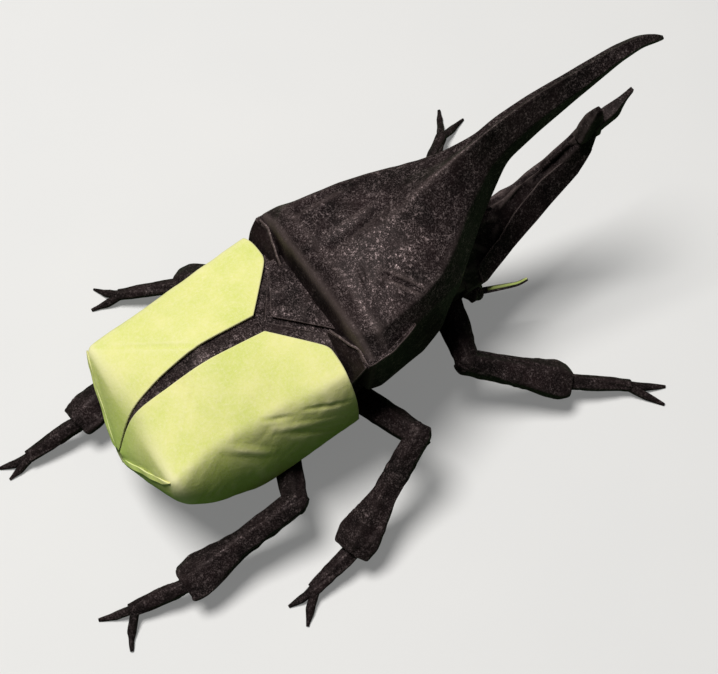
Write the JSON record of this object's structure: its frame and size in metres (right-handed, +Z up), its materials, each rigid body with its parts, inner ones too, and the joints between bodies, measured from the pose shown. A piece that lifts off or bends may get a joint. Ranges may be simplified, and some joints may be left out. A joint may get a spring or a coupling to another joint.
{
  "type": "origami beetle",
  "caption": "Rhinoceros beetle folded from one sheet of two-coloured paper, with pale green wing cases and a black hood, horns and legs",
  "frame": {"origin": "centre of the beetle's footprint box, on the table under its claws", "axes": "+X to the beetle's left, -Y to its head, +Z up"},
  "size_m": [0.1164, 0.1826, 0.0806],
  "materials": {
    "black_paper": "soft sheen with fine glitter",
    "green_paper": "matt with faint fibres"
  },
  "bodies": {
    "root": {"folded_beetle": "black_paper"}
  },
  "joints": []
}
